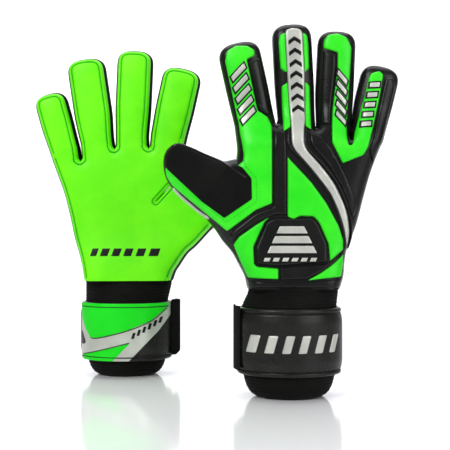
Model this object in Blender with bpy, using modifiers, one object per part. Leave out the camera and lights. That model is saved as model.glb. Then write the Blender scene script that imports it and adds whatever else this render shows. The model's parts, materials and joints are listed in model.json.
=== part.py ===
"""A pair of goalkeeper gloves, standing on their cuffs with the fingers up.

Each glove is built in its own frame and then set down in the pair's frame. In a glove's frame +X points
to the thumb, -Y is the palm side, +Y the back of the hand and +Z the fingers. The glove's axis runs up
the middle of the cuff, and the floor is at z = 0. The front glove is turned half round, so it shows its
back; the rear glove shows its palm. Lengths are in millimetres until mm() turns them into metres.
"""

import math

import bmesh
import bpy

# --- Driving dimensions, in millimetres -----------------------------------------------------------
GAP = 0.3  # clearance between pieces that touch
FRONT_GLOVE_X = 63.34  # the cuff's axis, from the pair's origin
REAR_GLOVE_X = -67.06
GLOVE_DEPTH_OFFSET = 50.0  # each glove's middle plane, before and behind the origin

CUFF_HALF_WIDTH = 34.4  # outside of the elastic cuff
CUFF_WALL = 2.6
CUFF_FOOT_HALF_WIDTH = 24.0  # outside of the gathered rim that the glove stands on
CUFF_FOOT_RISE = 15.0  # height over which the rim rounds out to the cuff
WRIST_DEPTH_RATIO = 0.78  # depth over width of the cuff, elastic and strap
STRAP_HALF_WIDTH = 38.8
STRAP_THICKNESS = 3.6
STRAP_HEIGHT = 48.0
STRAP_EDGE_STEP = 1.1  # how far the stitched edges sit inside the strap's middle
STRAP_EDGE_HEIGHT = 4.5
SLEEVE_OVERLAP = 8.0  # how far the wrist elastic runs down inside the strap
ELASTIC_HALF_WIDTH = 34.0
ELASTIC_WALL = 2.2
TAB_DEPTH = 15.0  # the strap's folded pull tab, across the wrist's side
TAB_THICKNESS = 3.8
TAB_BEVEL_HEIGHT = 6.0
TAB_BEVEL_DEPTH = 2.4
TAB_LOW_STEP = 3.0  # the tab's lower end above the strap's lower edge
TAB_HIGH_STEP = 1.5  # and its upper end above the strap's upper edge
PATCH_THICKNESS = 1.0  # hook and loop
PATCH_MARGIN = 6.0
RING_STEPS = 40

HAND_HALF_DEPTH = 19.0
PALM_FOAM = 4.5  # latex foam of the palm, with its backing
BACK_FOAM = 3.0  # the back's base layer
PANEL_FOAM = 2.6  # raised panels on the back
LINING_WALL = 1.6
FINGER_DEPTH = 28.0
FINGER_BACK_FOAM = 4.0
FINGER_TIP_TAPER = 0.94  # width near the tip over width at the base
THUMB_TIP_TAPER = 0.62
ARC_STEPS = 8  # straight pieces in half a round fingertip
SIDE_WALL = 3.2  # lining and gusset between the hand's room and the outside
ROOM_REACH = 4.5  # how far the hand's room runs on past the wrist seam and into each digit
THUMB_ROOM_STEP = 1.2
WEB_DROP = 2.0  # the room stays below the web between index finger and thumb

# Raised panels on the back: corners from the knuckle of the finger above, or from the wrist hem.
PANEL_SHAPES = {
    "index_side_panel": (
        (20.5, -6.0), (41.4, -9.0), (41.4, -34.0), (49.4, -64.0), (44.4, -73.0), (20.5, -55.0),
    ),
    "centre_panel": (
        (5.5, -30.0), (-9.5, -48.0), (-18.5, -62.0), (-29.0, -80.0), (-13.5, -68.0), (5.5, -69.0),
    ),
    "silver_band": (
        (4.0, -9.0), (-6.0, -9.0), (-19.0, -38.0), (-33.0, -60.0),
        (-38.0, -80.0), (-26.0, -58.0), (-10.0, -38.0), (4.0, -21.0),
    ),
    "wrist_badge": ((-6.0, 45.0), (16.0, 45.0), (22.0, 9.0), (-24.0, 9.0)),
    "wrist_side_panel": ((25.0, 48.0), (39.0, 31.0), (32.5, 14.0), (29.0, 4.0), (24.5, 4.0)),
}

FINGERS = ("index", "middle", "ring", "little")

# Digits: base centre (x, z), lean to the thumb side in degrees, length, width at the base.
# Outlines run up the little-finger side, and then up the thumb side, from the wrist seam.
FRONT = {
    "prefix": "front",
    "strap_low": 17.5,
    "hand_low": 84.0,
    "digits": {
        "index": ((25.0, 201.5), 12.5, 60.5, 31.0),
        "middle": ((-5.9, 201.0), 3.0, 72.8, 28.4),
        "ring": ((-33.0, 195.5), -2.5, 73.2, 24.2),
        "little": ((-56.6, 189.5), -13.5, 55.0, 24.0),
        "thumb": ((54.6, 148.2), 53.0, 44.0, 35.0),
    },
    "little_side": ((-37.5, 84.0), (-41.5, 105.0), (-47.0, 120.0), (-54.0, 145.0), (-62.5, 170.0)),
    "thumb_side": ((33.0, 84.0), (39.5, 101.0), (48.0, 114.0), (57.0, 125.0)),
    "web": ((40.5, 167.0), (38.8, 175.0), (39.2, 187.0)),
}
REAR = {
    "prefix": "rear",
    "strap_low": 14.0,
    "hand_low": 80.5,
    "digits": {
        "index": ((35.4, 198.5), 12.5, 62.0, 31.0),
        "middle": ((4.9, 198.0), 2.5, 76.0, 28.4),
        "ring": ((-24.0, 192.5), -8.4, 75.0, 27.6),
        "little": ((-51.2, 186.0), -15.5, 53.0, 26.0),
        "thumb": ((62.5, 139.5), 53.0, 44.0, 37.0),
    },
    "little_side": ((-36.5, 80.5), (-40.0, 102.0), (-46.5, 127.0), (-54.5, 158.0), (-60.5, 174.0)),
    "thumb_side": ((39.5, 80.5), (45.1, 92.0), (54.5, 104.5), (66.0, 115.0)),
    "web": ((49.0, 160.0), (48.5, 170.0), (49.5, 184.0)),
}

MATERIALS = {
    # name: (colour, roughness, metallic)
    "lime_latex": ((0.16, 0.86, 0.01), 0.62, 0.0),
    "green_foam": ((0.06, 0.82, 0.02), 0.42, 0.0),
    "black_foam": ((0.012, 0.013, 0.012), 0.36, 0.0),
    "black_fabric": ((0.009, 0.009, 0.009), 0.85, 0.0),
    "silver_film": ((0.72, 0.72, 0.68), 0.3, 0.55),
    "strap_rubber": ((0.016, 0.016, 0.015), 0.38, 0.0),
    "elastic_rib": ((0.008, 0.008, 0.008), 0.8, 0.0),
    "hook_tape": ((0.01, 0.01, 0.01), 0.9, 0.0),
}


def mm(*values):
    """Millimetres to metres, for one value or several."""
    scaled = [value * 0.001 for value in values]
    return scaled[0] if len(scaled) == 1 else tuple(scaled)


# --- Scene set-up ---------------------------------------------------------------------------------
def clear_scene():
    for thing in list(bpy.data.objects):
        bpy.data.objects.remove(thing, do_unlink=True)


def new_collection(name):
    collection = bpy.data.collections.new(name)
    bpy.context.scene.collection.children.link(collection)
    return collection


def make_materials():
    for name, (colour, roughness, metallic) in MATERIALS.items():
        material = bpy.data.materials.new(name)
        material.use_nodes = True
        shader = material.node_tree.nodes["Principled BSDF"]
        shader.inputs["Base Color"].default_value = (*colour, 1.0)
        shader.inputs["Roughness"].default_value = roughness
        shader.inputs["Metallic"].default_value = metallic


def make_empty(name, parent, place, lean_degrees=0.0):
    """An empty at a place in its parent's frame, leaning towards +X by an angle."""
    empty = bpy.data.objects.new(name, None)
    parts.objects.link(empty)
    empty.parent = parent
    empty.location = mm(*place)
    empty.rotation_euler = (0.0, math.radians(lean_degrees), 0.0)
    return empty


# --- Shape tools ----------------------------------------------------------------------------------
def add_piece(name, mesh, parent, material):
    """Links a finished mesh as one named piece under a parent."""
    mesh.name = name
    mesh.materials.clear()
    mesh.materials.append(bpy.data.materials[material])
    piece = bpy.data.objects.new(name, mesh)
    parts.objects.link(piece)
    piece.parent = parent
    return piece


def evaluated_mesh(source):
    """The evaluated, welded mesh of a curve or of an object with modifiers, which is then removed."""
    bpy.context.view_layer.update()
    depsgraph = bpy.context.evaluated_depsgraph_get()
    mesh = bpy.data.meshes.new_from_object(source.evaluated_get(depsgraph))
    bpy.data.objects.remove(source, do_unlink=True)
    weld = bmesh.new()
    weld.from_mesh(mesh)
    bmesh.ops.remove_doubles(weld, verts=weld.verts, dist=1e-6)
    bmesh.ops.recalc_face_normals(weld, faces=weld.faces)
    weld.to_mesh(mesh)
    weld.free()
    return mesh


def slab(outline, low_y, high_y):
    """A flat outline of (x, z) points, made a plate that runs from low_y to high_y."""
    curve = bpy.data.curves.new("outline", "CURVE")
    curve.dimensions = "2D"
    curve.fill_mode = "BOTH"
    curve.extrude = mm((high_y - low_y) / 2.0)
    spline = curve.splines.new("POLY")
    spline.points.add(len(outline) - 1)
    for point, (x, z) in zip(spline.points, outline):
        point.co = (*mm(x, z), 0.0, 1.0)
    spline.use_cyclic_u = True
    source = bpy.data.objects.new("outline", curve)
    guides.objects.link(source)
    mesh = evaluated_mesh(source)
    for vertex in mesh.vertices:
        x, z, depth = vertex.co
        vertex.co = (x, mm((low_y + high_y) / 2.0) - depth, z)
    return mesh


def ring(profile):
    """A closed profile of (radius, z) points, turned round the wrist and pressed to its oval."""
    mesh = bpy.data.meshes.new("profile")
    points = [(mm(radius), 0.0, mm(z)) for radius, z in profile]
    edges = [(n, (n + 1) % len(points)) for n in range(len(points))]
    mesh.from_pydata(points, edges, [])
    turned = bpy.data.objects.new("profile", mesh)
    guides.objects.link(turned)
    screw = turned.modifiers.new("turn", "SCREW")
    screw.angle = math.tau
    screw.steps = RING_STEPS
    screw.render_steps = RING_STEPS
    screw.use_merge_vertices = True
    screw.merge_threshold = 1e-5
    oval = evaluated_mesh(turned)
    for vertex in oval.vertices:
        vertex.co.y *= WRIST_DEPTH_RATIO
    return oval


def cut(name, mesh, cutter_mesh):
    """The mesh less the cutter."""
    body = bpy.data.objects.new("body", mesh)
    guides.objects.link(body)
    cutter = bpy.data.objects.new(name + "_cutter", cutter_mesh)
    guides.objects.link(cutter)
    cutter.hide_render = True
    cutter.display_type = "WIRE"
    boolean = body.modifiers.new("hollow", "BOOLEAN")
    boolean.operation = "DIFFERENCE"
    boolean.solver = "EXACT"
    boolean.object = cutter
    hollowed = evaluated_mesh(body)
    bpy.data.objects.remove(cutter, do_unlink=True)
    return hollowed


def box_outline(low_x, high_x, low_z, high_z):
    return [(low_x, low_z), (high_x, low_z), (high_x, high_z), (low_x, high_z)]


def digit_outline(width, length, tip_share, inset=0.0, base=0.0):
    """A finger's outline about its own axis: straight tapering sides and a round tip.

    The inset makes the same outline smaller all round, and base is where its open end starts."""
    half = width / 2.0 - inset
    tip_half = width * tip_share / 2.0 - inset
    shoulder = length - inset - tip_half
    arc = []
    for step in range(ARC_STEPS + 1):
        angle = math.pi * step / ARC_STEPS
        arc.append((tip_half * math.cos(angle), shoulder + tip_half * math.sin(angle)))
    return [(half, base), *arc, (-half, base)]


# --- Glove pieces ---------------------------------------------------------------------------------
def build_cuff(glove, frame):
    """The elastic cuff that the glove stands on, and the elastic sleeve of the wrist above it."""
    prefix = glove["prefix"]
    strap_high = glove["strap_low"] + STRAP_HEIGHT
    cuff_high = strap_high - SLEEVE_OVERLAP
    outside, foot = CUFF_HALF_WIDTH, CUFF_FOOT_HALF_WIDTH
    rise = CUFF_FOOT_RISE
    profile = [
        (outside, cuff_high),
        (outside, rise),
        (outside - 1.6, rise * 0.6),
        (outside - 5.0, rise * 0.2),
        (foot + 1.0, 0.0),
        (foot - 5.0, 0.0),
        (foot - 5.0, CUFF_WALL),
        (outside - 7.0, rise * 0.45),
        (outside - CUFF_WALL, rise),
        (outside - CUFF_WALL, cuff_high),
    ]
    add_piece(prefix + "_cuff_elastic", ring(profile), frame, "elastic_rib")

    low, high = cuff_high + GAP, glove["hand_low"] - GAP
    waist = ELASTIC_HALF_WIDTH - 1.0
    middle = (strap_high + high) / 2.0
    profile = [
        (ELASTIC_HALF_WIDTH, high),
        (waist, middle),
        (waist, low),
        (waist - ELASTIC_WALL, low),
        (waist - ELASTIC_WALL, middle),
        (ELASTIC_HALF_WIDTH - ELASTIC_WALL, high),
    ]
    add_piece(prefix + "_wrist_elastic", ring(profile), frame, "elastic_rib")


def build_strap(glove, frame):
    """The wrist strap: its sewn half on the back, and its flap, which opens from the little side."""
    prefix = glove["prefix"]
    low = glove["strap_low"]
    high = low + STRAP_HEIGHT
    outside, inside = STRAP_HALF_WIDTH, STRAP_HALF_WIDTH - STRAP_THICKNESS
    edge = outside - STRAP_EDGE_STEP
    profile = [
        (edge, high),
        (outside, high - STRAP_EDGE_HEIGHT),
        (outside, low + STRAP_EDGE_HEIGHT),
        (edge, low),
        (inside, low),
        (inside, high),
    ]
    reach = outside + 10.0
    strap_mesh = ring(profile)
    palm_half = slab(box_outline(-reach, reach, low - 5.0, high + 5.0), -reach, GAP / 2.0)
    sewn = cut("palm_half", strap_mesh.copy(), palm_half)
    add_piece(prefix + "_strap_back", sewn, frame, "strap_rubber")

    hinge = make_empty(prefix + "_strap_hinge", frame, (-outside, 0.0, 0.0))
    back_half = slab(box_outline(-reach, reach, low - 5.0, high + 5.0), -GAP / 2.0, reach)
    flap = cut("back_half", strap_mesh, back_half)
    for vertex in flap.vertices:
        vertex.co.x += mm(outside)
    add_piece(prefix + "_strap_flap", flap, hinge, "strap_rubber")

    # The pull tab is folded over the thumb side, outside the strap's two ends. Hook tape under it grips
    # loop tape on the sewn half.
    side = 2.0 * outside  # the strap's thumb side, from the hinge
    loop_in = outside + GAP
    loop_out = loop_in + PATCH_THICKNESS
    hook_in = side + 2.0 * GAP + PATCH_THICKNESS
    hook_out = hook_in + PATCH_THICKNESS
    tape_low, tape_high = low + PATCH_MARGIN, high - PATCH_MARGIN
    tab_half = TAB_DEPTH / 2.0
    loop = box_outline(loop_in, loop_out, tape_low, tape_high)
    add_piece(prefix + "_loop_tape", slab(loop, GAP, tab_half - GAP), frame, "hook_tape")
    hook = box_outline(hook_in, hook_out, tape_low, tape_high)
    add_piece(prefix + "_hook_tape", slab(hook, 2.0 - tab_half, tab_half - 2.0), hinge, "hook_tape")
    tab_in = hook_out + GAP
    tab_out = tab_in + TAB_THICKNESS
    tab_low, tab_high = low + TAB_LOW_STEP, high + TAB_HIGH_STEP
    tab = [
        (tab_in, tab_low),
        (tab_out - TAB_BEVEL_DEPTH, tab_low),
        (tab_out, tab_low + TAB_BEVEL_HEIGHT),
        (tab_out, tab_high),
        (tab_in, tab_high),
    ]
    add_piece(prefix + "_strap_tab", slab(tab, -tab_half, tab_half), hinge, "strap_rubber")


def knuckle_line(glove, drop):
    """The hand's top edge: each finger's two base corners in turn, lowered by a drop along the finger."""
    points = []
    for name in reversed(FINGERS):
        (x, z), lean, _, width = glove["digits"][name]
        angle = math.radians(lean)
        along = (math.sin(angle), math.cos(angle))
        across = (math.cos(angle), -math.sin(angle))
        for side in (-0.5, 0.5):
            points.append(
                (
                    x + side * width * across[0] - drop * along[0],
                    z + side * width * across[1] - drop * along[1],
                )
            )
    return points


def thumb_line(glove, drop):
    """The thumb's two base corners, upper first, lowered by a drop along the thumb."""
    (x, z), lean, _, width = glove["digits"]["thumb"]
    angle = math.radians(lean)
    along = (math.sin(angle), math.cos(angle))
    across = (math.cos(angle), -math.sin(angle))
    return [
        (
            x + side * width * across[0] - drop * along[0],
            z + side * width * across[1] - drop * along[1],
        )
        for side in (-0.5, 0.5)
    ]


def hand_outline(glove, drop=GAP):
    """The hand without its digits, up the little side, over the knuckles and down the thumb side."""
    return [
        *glove["little_side"],
        *knuckle_line(glove, drop),
        *reversed(glove["web"]),
        *thumb_line(glove, drop),
        *reversed(glove["thumb_side"]),
    ]


def build_hand(glove, wrist):
    """Palm, lining, back and the back's raised panels, all on the wrist's hinge."""
    prefix = glove["prefix"]
    pivot = wrist_height(glove)
    outline = [(x, z - pivot) for x, z in hand_outline(glove)]
    palm_face = -HAND_HALF_DEPTH
    back_face = HAND_HALF_DEPTH
    palm = slab(outline, palm_face, palm_face + PALM_FOAM)
    add_piece(prefix + "_palm_latex", palm, wrist, "lime_latex")

    lining_low = palm_face + PALM_FOAM + GAP
    lining_high = back_face - PANEL_FOAM - BACK_FOAM - 2.0 * GAP
    sleeve = slab(outline, lining_low, lining_high)
    cavity = hand_cavity(glove, pivot)
    hollow = slab(cavity, lining_low + LINING_WALL, lining_high - LINING_WALL)
    add_piece(prefix + "_hand_lining", cut("cavity", sleeve, hollow), wrist, "black_fabric")

    back_low = lining_high + GAP
    back_high = back_low + BACK_FOAM
    add_piece(prefix + "_back_shell", slab(outline, back_low, back_high), wrist, "black_foam")

    for name, points, material in back_panels(glove):
        shape = [(x, z - pivot) for x, z in points]
        mesh = slab(shape, back_high + GAP, back_face)
        add_piece(f"{prefix}_{name}", mesh, wrist, material)


def hand_cavity(glove, pivot):
    """The room for the hand, open at the wrist and into the fingers and the thumb."""
    low = glove["hand_low"] - ROOM_REACH
    little = [(x + SIDE_WALL, z) for x, z in glove["little_side"]]
    little[0] = (little[0][0], low)
    thumb = [(x - SIDE_WALL, z) for x, z in glove["thumb_side"]]
    thumb[0] = (thumb[0][0], low)
    knuckles = knuckle_line(glove, -ROOM_REACH)
    index_corner = knuckles[-1]
    knuckles[0] = (knuckles[0][0] + SIDE_WALL, knuckles[0][1])
    knuckles[-1] = (index_corner[0] - SIDE_WALL, index_corner[1])
    upper, lower = thumb_line(glove, -ROOM_REACH)
    upper = (upper[0] + THUMB_ROOM_STEP, upper[1] - ROOM_REACH)
    lower = (lower[0] - SIDE_WALL - THUMB_ROOM_STEP, lower[1] + THUMB_ROOM_STEP)
    web = [(x - SIDE_WALL - THUMB_ROOM_STEP, z - WEB_DROP) for x, z in reversed(glove["web"])]
    points = [*little, *knuckles, *web, upper, lower, *reversed(thumb)]
    return [(x, z - pivot) for x, z in points]


def back_panels(glove):
    """The raised panels, placed from the knuckles and the wrist hem. The index side is +x."""
    digits = glove["digits"]
    (_, index_z), _, _, _ = digits["index"]
    (middle_x, middle_z), _, _, _ = digits["middle"]
    anchors = {
        "index_side_panel": (middle_x, index_z, "green_foam"),
        "centre_panel": (middle_x, middle_z, "green_foam"),
        "silver_band": (middle_x, middle_z, "silver_film"),
        "wrist_badge": (0.0, glove["hand_low"], "black_foam"),
        "wrist_side_panel": (0.0, glove["hand_low"], "green_foam"),
    }
    return [
        (name, [(x + dx, z + dz) for dx, dz in PANEL_SHAPES[name]], material)
        for name, (x, z, material) in anchors.items()
    ]


def back_panels(glove):
    """The raised panels, from the knuckle line down. x runs to the thumb, so the index side is +x."""
    digits = glove["digits"]
    (index_x, index_z), _, _, index_width = digits["index"]
    (middle_x, middle_z), _, _, _ = digits["middle"]
    (little_x, little_z), _, _, _ = digits["little"]
    hem = glove["hand_low"] + 4.0
    gutter = middle_x + 17.5  # the black channel between the index side and the centre
    index_edge = index_x + index_width / 2.0 - 3.0
    index_side = [
        (gutter + 3.0, index_z - 6.0),
        (index_edge - 2.0, index_z - 9.0),
        (index_edge - 2.0, index_z - 34.0),
        (index_edge + 6.0, index_z - 64.0),
        (index_edge + 1.0, index_z - 73.0),
        (gutter + 3.0, index_z - 55.0),
    ]
    centre = [
        (gutter - 12.0, middle_z - 30.0),
        (gutter - 27.0, middle_z - 48.0),
        (gutter - 36.0, middle_z - 62.0),
        (gutter - 46.5, middle_z - 80.0),
        (gutter - 31.0, middle_z - 68.0),
        (gutter - 12.0, middle_z - 69.0),
    ]
    silver = [
        (middle_x + 4.0, middle_z - 9.0),
        (middle_x - 6.0, middle_z - 9.0),
        (middle_x - 19.0, middle_z - 38.0),
        (middle_x - 33.0, middle_z - 60.0),
        (middle_x - 38.0, middle_z - 80.0),
        (middle_x - 26.0, middle_z - 58.0),
        (middle_x - 10.0, middle_z - 38.0),
        (middle_x + 4.0, middle_z - 21.0),
    ]
    badge = [
        (-6.0, hem + 41.0),
        (16.0, hem + 41.0),
        (22.0, hem + 5.0),
        (-24.0, hem + 5.0),
    ]
    wrist_side = [
        (25.0, hem + 44.0),
        (39.0, hem + 27.0),
        (32.5, hem + 10.0),
        (29.0, hem),
        (24.5, hem),
    ]
    return [
        ("index_side_panel", index_side, "green_foam"),
        ("centre_panel", centre, "green_foam"),
        ("silver_band", silver, "silver_film"),
        ("wrist_badge", badge, "black_foam"),
        ("wrist_side_panel", wrist_side, "green_foam"),
    ]


def build_digit(glove, wrist, name):
    """One finger or the thumb: latex front, foam back, and the fabric stall between them.

    Its empty is on the crease at its base, on the palm's surface, with +Z along the digit."""
    prefix = f'{glove["prefix"]}_{name}'
    (x, z), lean, length, width = glove["digits"][name]
    crease = (x, -HAND_HALF_DEPTH, z - wrist_height(glove))
    hinge = make_empty(prefix + "_hinge", wrist, crease, lean)
    tip_share = THUMB_TIP_TAPER if name == "thumb" else FINGER_TIP_TAPER
    outline = digit_outline(width, length, tip_share)
    add_piece(prefix + "_latex", slab(outline, 0.0, PALM_FOAM), hinge, "lime_latex")

    stall_low = PALM_FOAM + GAP
    stall_high = FINGER_DEPTH - FINGER_BACK_FOAM - GAP
    stall = slab(outline, stall_low, stall_high)
    room = digit_outline(width, length, tip_share, inset=LINING_WALL, base=-5.0)
    hollow = slab(room, stall_low + LINING_WALL, stall_high - LINING_WALL)
    add_piece(prefix + "_stall", cut("room", stall, hollow), hinge, "black_fabric")

    back = slab(outline, stall_high + GAP, FINGER_DEPTH)
    back_material = "black_fabric" if name == "thumb" else "green_foam"
    add_piece(prefix + "_back", back, hinge, back_material)


def wrist_height(glove):
    """Where the wrist bends: half way up the open stretch of its elastic."""
    strap_high = glove["strap_low"] + STRAP_HEIGHT
    return (strap_high + glove["hand_low"]) / 2.0


def build_glove(glove, place, turned):
    frame = make_empty(glove["prefix"] + "_glove", None, place)
    frame.rotation_euler.z = math.pi if turned else 0.0
    build_cuff(glove, frame)
    build_strap(glove, frame)
    wrist = make_empty(glove["prefix"] + "_wrist", frame, (0.0, 0.0, wrist_height(glove)))
    build_hand(glove, wrist)
    for name in (*FINGERS, "thumb"):
        build_digit(glove, wrist, name)


clear_scene()
parts = new_collection("goalkeeper_gloves")
guides = new_collection("guides")
make_materials()
build_glove(FRONT, (FRONT_GLOVE_X, -GLOVE_DEPTH_OFFSET, 0.0), turned=True)
build_glove(REAR, (REAR_GLOVE_X, GLOVE_DEPTH_OFFSET, 0.0), turned=False)
bpy.context.view_layer.update()
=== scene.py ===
import json
import math

import bmesh
import bpy
import numpy as np
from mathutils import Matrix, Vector
from mathutils.geometry import delaunay_2d_cdt


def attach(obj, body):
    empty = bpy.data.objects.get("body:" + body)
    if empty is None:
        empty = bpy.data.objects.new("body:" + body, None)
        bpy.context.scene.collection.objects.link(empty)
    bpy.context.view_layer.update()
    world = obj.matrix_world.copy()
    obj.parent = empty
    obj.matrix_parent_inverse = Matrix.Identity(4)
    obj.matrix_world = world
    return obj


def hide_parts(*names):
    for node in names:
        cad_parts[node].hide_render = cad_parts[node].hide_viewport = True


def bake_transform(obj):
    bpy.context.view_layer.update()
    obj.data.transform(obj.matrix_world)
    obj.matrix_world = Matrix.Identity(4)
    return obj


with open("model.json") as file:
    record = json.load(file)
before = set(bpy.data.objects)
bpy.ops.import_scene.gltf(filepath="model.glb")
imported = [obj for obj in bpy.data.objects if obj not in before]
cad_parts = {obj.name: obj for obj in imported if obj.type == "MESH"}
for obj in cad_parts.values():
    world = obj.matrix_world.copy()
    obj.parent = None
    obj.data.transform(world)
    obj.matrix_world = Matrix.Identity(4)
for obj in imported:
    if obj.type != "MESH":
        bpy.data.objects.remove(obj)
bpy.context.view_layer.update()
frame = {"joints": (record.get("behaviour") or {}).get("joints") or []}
joints = {joint["name"]: joint for joint in frame["joints"]}

# Sizes in millimetres, in each glove's own frame: x to the thumb, y to the back of the hand, z up.
# Fingers: crease centre, lean to the thumb side, length, then the half widths on the little-finger
# side (base, middle) and on the thumb side (base, middle).
FINGERS = ("little", "ring", "middle", "index")
DIGITS = (*FINGERS, "thumb")
TIP_REACH = 12.5
TIP_POWER = 2.7
FRONT = {
    "name": "front",
    "turned": True,
    "hem": 79.0,
    "strap_low": 17.5,
    "digits": {
        "index": ((25.0, 201.5), 12.5, 60.0, (15.0, 15.6, 15.4, 15.8)),
        "middle": ((-5.9, 201.0), 3.0, 72.8, (13.7, 14.5, 14.0, 15.0)),
        "ring": ((-33.0, 195.5), -2.5, 73.0, (13.2, 14.0, 13.0, 14.5)),
        "little": ((-56.6, 189.5), -13.5, 54.4, (12.9, 14.4, 12.1, 14.3)),
        "thumb": ((54.6, 148.2), 53.0, 47.8, (17.6, 17.6, 17.6, 17.6)),
    },
    "crotches": ((-44.9, 189.5), (-19.8, 196.5), (9.2, 199.5)),
    "web": ((38.9, 188.0), (38.2, 180.5)),
    "web_end": (38.8, 174.0),
    "little_side": (
        (-37.2, 79.0), (-39.7, 88.0), (-40.4, 97.0), (-41.9, 106.0), (-46.2, 117.0), (-50.0, 128.0),
        (-54.4, 145.0), (-59.5, 163.0), (-66.0, 180.0),
    ),
    "thumb_side": (
        (30.9, 79.0), (33.0, 88.0), (37.5, 97.0), (41.9, 105.0), (49.2, 114.0), (55.5, 123.5),
    ),
    "thumb_scale": 1.0,
}
REAR = {
    "name": "rear",
    "turned": False,
    "hem": 79.5,
    "strap_low": 14.0,
    "digits": {
        "index": ((35.4, 198.5), 12.5, 61.5, (15.6, 16.6, 15.6, 16.6)),
        "middle": ((4.9, 198.0), 2.5, 75.6, (14.2, 15.4, 14.1, 15.2)),
        "ring": ((-24.0, 192.5), -8.4, 74.8, (14.4, 16.0, 14.3, 16.4)),
        "little": ((-51.2, 186.0), -15.5, 53.0, (13.0, 13.9, 13.0, 13.9)),
        "thumb": ((62.5, 139.5), 53.0, 47.8, (18.6, 18.6, 18.6, 18.6)),
    },
    "crotches": ((-38.0, 182.0), (-9.4, 192.0), (19.4, 192.5)),
    "web": ((49.6, 184.0), (48.3, 174.0)),
    "web_end": (47.6, 165.5),
    "little_side": (
        (-36.0, 79.5), (-37.7, 91.0), (-40.3, 102.0), (-44.6, 117.0), (-48.0, 133.0), (-53.1, 153.0),
        (-58.8, 169.0),
    ),
    "thumb_side": (
        (39.3, 79.5), (41.7, 86.5), (45.1, 92.0), (51.9, 102.0), (60.0, 109.5),
    ),
    "thumb_scale": 1.055,
}
# The thumb's outline from the web round its tip to the lower side: along, across.
THUMB_OUTLINE = (
    (10.0, -22.9), (20.0, -19.9), (31.0, -17.8), (40.0, -16.0), (45.5, -13.0), (47.8, -7.0),
    (47.4, -1.4), (44.8, 3.8), (40.7, 8.6), (35.5, 12.6), (28.0, 15.4), (18.0, 16.8), (9.0, 17.3),
)
OUTLINE_STEP = 0.9
GRID = 1.7
FINGER_CENTRE = -5.0  # the fingers' middle sits this far to the palm side
HAND_HALF = 14.6
FINGER_HALF = 10.4
WRIST_HALF = 20.0
WRIST_FADE = 48.0  # height over which the wrist's depth becomes the hand's
SWELL_REACH = 8.75  # how fast the skin rises from its edge
SHARP_BAND = 1.4  # next to an edge the depth is exact, and over the next span it turns smooth
SOFTEN_OVER = 1.6
BEND_Y = -19.0  # a digit's crease, on the palm side
BEND_SPAN = 14.0  # length of a digit's crease span, whose ends are worked out but not used
PAD_INSET = 1.8
PAD_FOAM = 3.7
PAD_RIM = 1.9  # width of the pad's rolled edge
SEAM_INSET = 4.9
SEAM_DEPTH = 1.1
SLIT_SEAM = 2.9
STRAP_HALF_WIDTH = 38.8
STRAP_HALF_DEPTH = 30.26
STRAP_HEIGHT = 48.0
STRAP_WALL = 3.6
ELASTIC_HALF_WIDTH = 34.6  # the wrist elastic, where it leaves the strap
ELASTIC_HALF_DEPTH = 26.6
STRAP_SEAM = 3.4  # the strap's sewn lines, from its edges
STITCH_PITCH = 2.6
STITCH_SIZE = 0.34
TUBE_SIDES = 8
BODY_RINGS = (0.12, 0.4, 0.85, 1.5, 2.4, 3.6)  # rows of points inside a shell's edge
PAD_RINGS = (0.1, 0.35, 0.8, 1.3, 1.9, 2.5, 3.1, 3.7, 4.4, 5.4)
STRAP_EDGE_ROWS = (0.0, 0.15, 0.5, 1.0, 1.6, 2.4, 3.0, 3.4, 3.8, 4.4, 5.2)
MM = 0.001
PATCH_SCALE = 45.0  # how often a colour drifts, per metre
GRAIN_DEPTH = 0.0004  # metres


def smooth(value):
    value = np.clip(value, 0.0, 1.0)
    return value * value * (3.0 - 2.0 * value)


def resample(points, step):
    """Points a step apart along straight runs, with every corner kept."""
    points = np.asarray(points, float)
    out = []
    for start, end in zip(points[:-1], points[1:]):
        count = max(1, int(round(np.linalg.norm(end - start) / step)))
        for n in range(count):
            out.append(start + (end - start) * n / count)
    out.append(points[-1])
    return np.array(out)


def curve_through(points, step):
    """A smooth open curve through the points."""
    points = np.asarray(points, float)
    ends = np.vstack([2 * points[0] - points[1], points, 2 * points[-1] - points[-2]])
    out = []
    for a, b, c, d in zip(ends[:-3], ends[1:-2], ends[2:-1], ends[3:]):
        count = max(2, int(round(np.linalg.norm(c - b) / step)))
        t = (np.arange(count) / count)[:, None]
        out.append(
            0.5 * (2 * b + (c - a) * t + (2 * a - 5 * b + 4 * c - d) * t**2
                   + (3 * b - a - 3 * c + d) * t**3)
        )
    out.append(points[-1:])
    return np.vstack(out)


def inside(points, outline):
    """Which points lie inside a closed outline."""
    hit = np.zeros(len(points), bool)
    x, z = points[:, 0], points[:, 1]
    for a, b in zip(outline, np.roll(outline, -1, axis=0)):
        if a[1] == b[1]:
            continue
        crosses = (a[1] > z) != (b[1] > z)
        at = a[0] + (z - a[1]) * (b[0] - a[0]) / (b[1] - a[1])
        hit ^= crosses & (x < at)
    return hit


def edge_distance(points, starts, ends):
    """The distance from each point to the nearest of some straight edges."""
    out = np.empty(len(points))
    run = ends - starts
    length = np.maximum((run**2).sum(1), 1e-12)
    origin = (starts * run).sum(1)
    start_square = (starts**2).sum(1)
    for low in range(0, len(points), 2000):
        p = points[low:low + 2000]
        reach = p @ run.T - origin
        share = np.clip(reach / length, 0.0, 1.0)
        square = (p**2).sum(1)[:, None] + start_square - 2.0 * (p @ starts.T)
        square += share * (share * length - 2.0 * reach)
        out[low:low + 2000] = np.sqrt(np.maximum(square.min(1), 0.0))
    return out


def hex_grid(outline, step):
    low, high = outline.min(0), outline.max(0)
    rows = np.arange(low[1], high[1], step * 0.866)
    points = []
    for n, z in enumerate(rows):
        x = np.arange(low[0] + (n % 2) * step / 2, high[0], step)
        points.append(np.column_stack([x, np.full(len(x), z)]))
    return np.vstack(points)


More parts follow.
